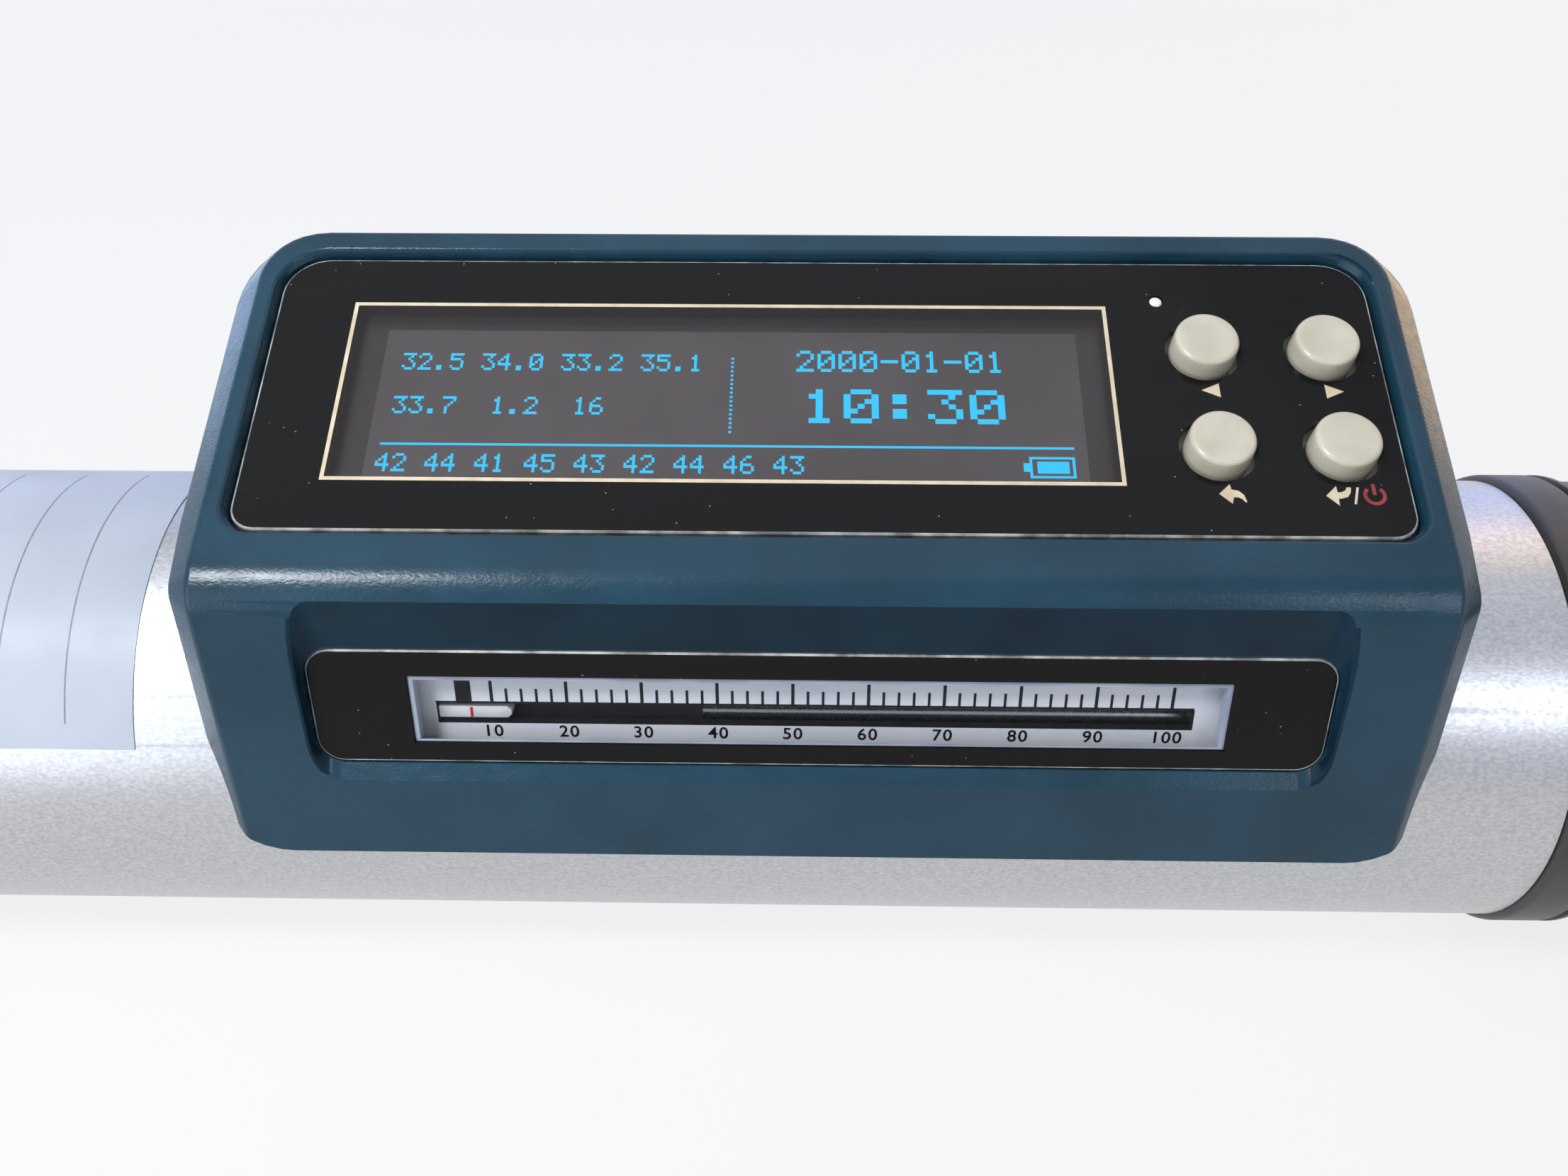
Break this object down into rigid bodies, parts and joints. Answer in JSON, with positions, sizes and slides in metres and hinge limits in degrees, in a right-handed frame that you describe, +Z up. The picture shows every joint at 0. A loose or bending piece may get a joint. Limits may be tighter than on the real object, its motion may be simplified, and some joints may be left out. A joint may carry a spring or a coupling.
{
  "type": "concrete test hammer",
  "caption": "Rebound hammer for testing concrete: sprung plunger in a round barrel, rebound scale with a sliding rider, and a tilted digital display with keys.",
  "frame": {"origin": "on the barrel axis, in the middle of the front cap's guide wall", "axes": "+X along the barrel from the plunger to the rear cover, +Z up, the scale faces -Y and the display up and -Y"},
  "size_m": [0.368, 0.0559, 0.0734],
  "materials": {
    "barrel_metal": "satin with a fine sand-blasted grain",
    "film": "thin satin film",
    "cap_metal": "turned",
    "felt": "pressed felt",
    "cover_plastic": "moulded satin",
    "steel": "ground",
    "disc_brass": "turned",
    "spring_steel": "oiled wire",
    "button_black": "black finish",
    "rider_white": "moulded",
    "scale_white": "white enamel with printed scale",
    "clear_pane": "clear acrylic",
    "bezel_grey": "moulded",
    "panel_black": "glossy acrylic",
    "housing_teal": "moulded with a fine leather grain",
    "display_dark": "display glass",
    "board_green": "solder mask",
    "inner_black": "moulded",
    "light_white": "light pipe",
    "cell_blue": "sleeved cells",
    "key_white": "moulded glossy"
  },
  "bodies": {
    "barrel": {"barrel_tube": "barrel_metal", "barrel_film": "film", "front_cap": "cap_metal", "felt_wiper": "felt", "spring_seat": "cap_metal", "rear_cover": "cover_plastic", "trip_screw": "steel", "trip_lock_nut": "steel", "impact_spring": "spring_steel", "return_spring": "spring_steel", "lock_bush": "cap_metal", "lock_spring": "spring_steel", "rider_rod": "steel", "rider_rod_clips": "cap_metal", "scale_plate": "scale_white", "scale_pane": "clear_pane", "scale_bezel": "bezel_grey", "scale_panel": "panel_black", "display_housing": "housing_teal", "housing_screws": "button_black", "display_panel": "panel_black", "display_glass": "display_dark", "main_board": "board_green", "board_screws": "steel", "key_switches": "inner_black", "status_light": "light_white", "sensor_board": "board_green", "battery_cells": "cell_blue", "battery_cradle": "inner_black", "usb_socket": "steel"},
    "plunger": {"impact_plunger": "steel", "split_ring": "steel", "cushion_spring": "spring_steel", "guide_bar": "steel", "guide_disc": "disc_brass", "pawl_pin": "steel", "pawl_spring": "spring_steel"},
    "hammer": {"hammer_mass": "steel"},
    "pawl": {"pawl": "steel"},
    "rider": {"rider": "rider_white"},
    "lock_button": {"lock_button": "button_black"},
    "key_left": {"key_left": "key_white"},
    "key_right": {"key_right": "key_white"},
    "key_back": {"key_back": "key_white"},
    "key_enter": {"key_enter": "key_white"}
  },
  "joints": [
    {"name": "plunger_slide", "type": "slide", "parent": "barrel", "child": "plunger", "axis": [1, 0, 0], "range_m": [0, 0.075], "stiffness_N_per_m": 200, "springref_m": -0.03, "deforming": ["return_spring", "impact_spring"]},
    {"name": "hammer_slide", "type": "slide", "parent": "plunger", "child": "hammer", "axis": [1, 0, 0], "range_m": [-0.075, 0], "deforming": ["impact_spring"]},
    {"name": "pawl_swing", "type": "hinge", "parent": "plunger", "child": "pawl", "pos_m": [0.169, 0, -0.009], "axis": [0, -1, 0], "range_deg": [0, 4], "stiffness_Nm_per_rad": 0.2, "springref_deg": -5.73, "deforming": ["pawl_spring"]},
    {"name": "rider_slide", "type": "slide", "parent": "barrel", "child": "rider", "axis": [1, 0, 0], "range_m": [0, 0.0678]},
    {"name": "lock_button_press", "type": "slide", "parent": "barrel", "child": "lock_button", "axis": [0, -0.8121, 0.5835], "range_m": [0, 0.0033], "stiffness_N_per_m": 600, "springref_m": -0.002, "deforming": ["lock_spring"]},
    {"name": "key_left_press", "type": "slide", "parent": "barrel", "child": "key_left", "axis": [0, 0.3971, -0.9178], "range_m": [0, 0.0005], "stiffness_N_per_m": 1500, "springref_m": -0.0003},
    {"name": "key_right_press", "type": "slide", "parent": "barrel", "child": "key_right", "axis": [0, 0.3971, -0.9178], "range_m": [0, 0.0005], "stiffness_N_per_m": 1500, "springref_m": -0.0003},
    {"name": "key_back_press", "type": "slide", "parent": "barrel", "child": "key_back", "axis": [0, 0.3971, -0.9178], "range_m": [0, 0.0005], "stiffness_N_per_m": 1500, "springref_m": -0.0003},
    {"name": "key_enter_press", "type": "slide", "parent": "barrel", "child": "key_enter", "axis": [0, 0.3971, -0.9178], "range_m": [0, 0.0005], "stiffness_N_per_m": 1500, "springref_m": -0.0003}
  ]
}
